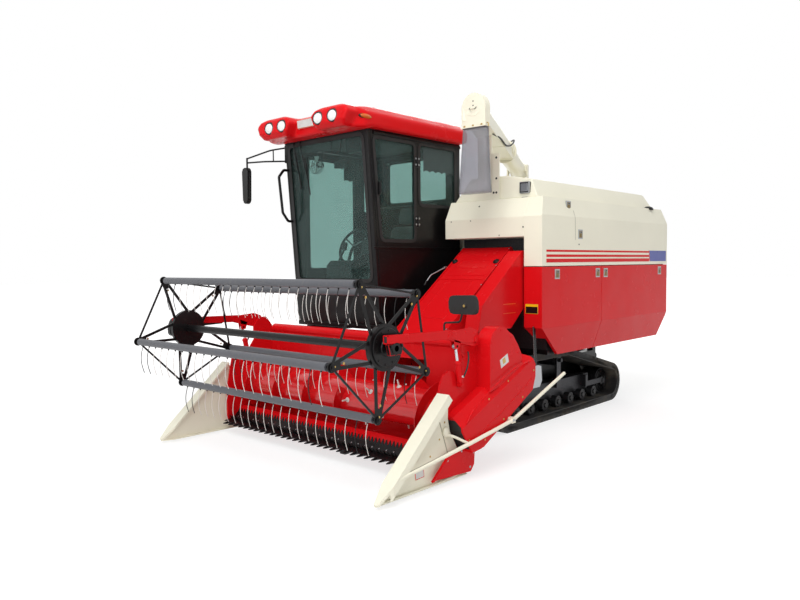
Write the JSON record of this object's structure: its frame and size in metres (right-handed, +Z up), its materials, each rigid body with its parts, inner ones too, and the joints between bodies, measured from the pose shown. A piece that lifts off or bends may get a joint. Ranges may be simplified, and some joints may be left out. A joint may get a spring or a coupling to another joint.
{
  "type": "tracked rice combine harvester",
  "caption": "Tracked rice combine with a closed cab, a tined reel and crop auger on a tilting header, a hollow feeder house and a swinging grain unloader.",
  "frame": {"origin": "on the ground, at the middle of the overall length and width", "axes": "+Z up; the machine faces -Y and its left side is +X, so +Y runs back along its length"},
  "size_m": [2.9273, 5.2652, 3.033],
  "materials": {
    "black_paint": "satin",
    "cab_glass": "clear",
    "cab_plastic": "matte",
    "chrome": "polished",
    "clear_plastic": "clear",
    "cream_paint": "gloss",
    "dark_steel": "satin",
    "grey_paint": "satin",
    "lamp_glass": "clear",
    "red_paint": "gloss",
    "seat_fabric": "woven",
    "track_rubber": "matte"
  },
  "bodies": {
    "root": {"chassis_frame": "black_paint", "transmission": "dark_steel", "track_left": "track_rubber", "track_right": "track_rubber", "track_frames": "dark_steel", "track_wheels": "dark_steel", "thresher": "dark_steel", "left_upper_panel": "cream_paint", "left_front_panel": "red_paint", "left_rear_panel": "red_paint", "front_wing": "cream_paint", "top_deck": "cream_paint", "hump_cover": "cream_paint", "grain_tank": "cream_paint", "engine": "dark_steel", "right_rear_panel": "red_paint", "rear_cover": "cream_paint", "cab_floor": "black_paint", "cab_front_frame": "black_paint", "windscreen": "cab_glass", "cab_left_wall": "black_paint", "cab_rear_wall": "black_paint", "cab_right_wall": "black_paint", "cab_glass": "cab_glass", "cab_roof": "red_paint", "roof_lamps": "lamp_glass", "seat_cushions": "seat_fabric", "console": "cab_plastic", "grab_rail": "black_paint", "right_mirror": "black_paint", "unloader_stub": "cream_paint"},
    "header": {"feeder_house": "red_paint", "feeder_shield": "red_paint", "left_mirror": "black_paint", "header_frame": "red_paint", "cutter_bar": "black_paint", "dividers": "cream_paint", "drive_shields": "red_paint"},
    "crop_auger": {"header_auger": "red_paint"},
    "reel_arms": {"reel_arms": "red_paint"},
    "reel": {"reel_frame": "black_paint"},
    "reel_barrels": {"reel_barrels": "red_paint"},
    "reel_rods": {"reel_rods": "chrome"},
    "lift_barrel": {"lift_barrel": "black_paint"},
    "lift_rod": {"lift_rod": "chrome"},
    "unloader_elbow": {"unloader_elbow": "cream_paint"},
    "unloader_boom": {"unloader_boom": "cream_paint", "discharge_chute": "clear_plastic"},
    "cab_door": {"cab_door": "black_paint", "cab_door_glass": "cab_glass"},
    "radiator_door": {"radiator_door": "red_paint"},
    "tine_bar_1": {"tine_bar_1": "grey_paint"},
    "tine_bar_2": {"tine_bar_2": "grey_paint"},
    "tine_bar_3": {"tine_bar_3": "grey_paint"},
    "tine_bar_4": {"tine_bar_4": "grey_paint"},
    "tine_bar_5": {"tine_bar_5": "grey_paint"}
  },
  "joints": [
    {"name": "header_lift", "type": "hinge", "parent": "root", "child": "header", "pos_m": [0.475, 0.01, 1.435], "axis": [-1, 0, 0], "range_deg": [0, 22]},
    {"name": "lift_barrel_pivot", "type": "hinge", "parent": "root", "child": "lift_barrel", "pos_m": [0.265, -0.33, 0.235], "axis": [-1, 0, 0], "range_deg": [0, 8.31]},
    {"name": "lift_rod_slide", "type": "slide", "parent": "lift_barrel", "child": "lift_rod", "axis": [0, -0.8225, 0.5688], "range_m": [0, 0.4446]},
    {"name": "crop_auger_turn", "type": "hinge", "parent": "header", "child": "crop_auger", "pos_m": [0, -1.42, 0.46], "axis": [1, 0, 0], "continuous": true},
    {"name": "reel_lift", "type": "hinge", "parent": "header", "child": "reel_arms", "pos_m": [0, -1.28, 0.996], "axis": [-1, 0, 0], "range_deg": [-6, 16]},
    {"name": "reel_barrel_pivot", "type": "hinge", "parent": "header", "child": "reel_barrels", "pos_m": [0, -1.435, 0.68], "axis": [-1, 0, 0], "range_deg": [-0.57, 1.51]},
    {"name": "reel_rod_slide", "type": "slide", "parent": "reel_barrels", "child": "reel_rods", "axis": [0, -0.2081, 0.9781], "range_m": [-0.02288, 0.06102]},
    {"name": "reel_turn", "type": "hinge", "parent": "reel_arms", "child": "reel", "pos_m": [0, -2.132, 1.006], "axis": [1, 0, 0], "continuous": true},
    {"name": "unloader_swing", "type": "hinge", "parent": "root", "child": "unloader_elbow", "pos_m": [-0.47, 2.02, 2.33], "axis": [0, 0, 1], "range_deg": [0, 155]},
    {"name": "unloader_lift", "type": "hinge", "parent": "unloader_elbow", "child": "unloader_boom", "pos_m": [-0.47, 2.02, 2.69], "axis": [-0.9087, -0.4175, 0], "range_deg": [0, 15]},
    {"name": "cab_door_swing", "type": "hinge", "parent": "root", "child": "cab_door", "pos_m": [-1.143, -0.077, 1.3], "axis": [0, 0, -1], "range_deg": [0, 85]},
    {"name": "radiator_door_swing", "type": "hinge", "parent": "root", "child": "radiator_door", "pos_m": [-1.157, 1.298, 0.9], "axis": [0, 0, -1], "range_deg": [0, 100]},
    {"name": "tine_bar_1_turn", "type": "hinge", "parent": "reel", "child": "tine_bar_1", "pos_m": [0, -2.35258, 1.42668], "axis": [1, 0, 0], "continuous": true},
    {"name": "tine_bar_2_turn", "type": "hinge", "parent": "reel", "child": "tine_bar_2", "pos_m": [0, -1.80008, 1.34578], "axis": [1, 0, 0], "continuous": true},
    {"name": "tine_bar_3_turn", "type": "hinge", "parent": "reel", "child": "tine_bar_3", "pos_m": [0, -1.70628, 0.79532], "axis": [1, 0, 0], "continuous": true},
    {"name": "tine_bar_4_turn", "type": "hinge", "parent": "reel", "child": "tine_bar_4", "pos_m": [0, -2.20081, 0.53601], "axis": [1, 0, 0], "continuous": true},
    {"name": "tine_bar_5_turn", "type": "hinge", "parent": "reel", "child": "tine_bar_5", "pos_m": [0, -2.60025, 0.92621], "axis": [1, 0, 0], "continuous": true}
  ],
  "couplings": [
    {"joint": "lift_barrel_pivot", "follows": "header_lift", "ratio": 0.37741},
    {"joint": "lift_rod_slide", "follows": "header_lift", "m_per_rad": 1.1566},
    {"joint": "reel_barrel_pivot", "follows": "reel_lift", "ratio": 0.093691},
    {"joint": "reel_rod_slide", "follows": "reel_lift", "m_per_rad": 0.21634},
    {"joint": "tine_bar_1_turn", "follows": "reel_turn", "ratio": -1},
    {"joint": "tine_bar_2_turn", "follows": "reel_turn", "ratio": -1},
    {"joint": "tine_bar_3_turn", "follows": "reel_turn", "ratio": -1},
    {"joint": "tine_bar_4_turn", "follows": "reel_turn", "ratio": -1},
    {"joint": "tine_bar_5_turn", "follows": "reel_turn", "ratio": -1}
  ]
}
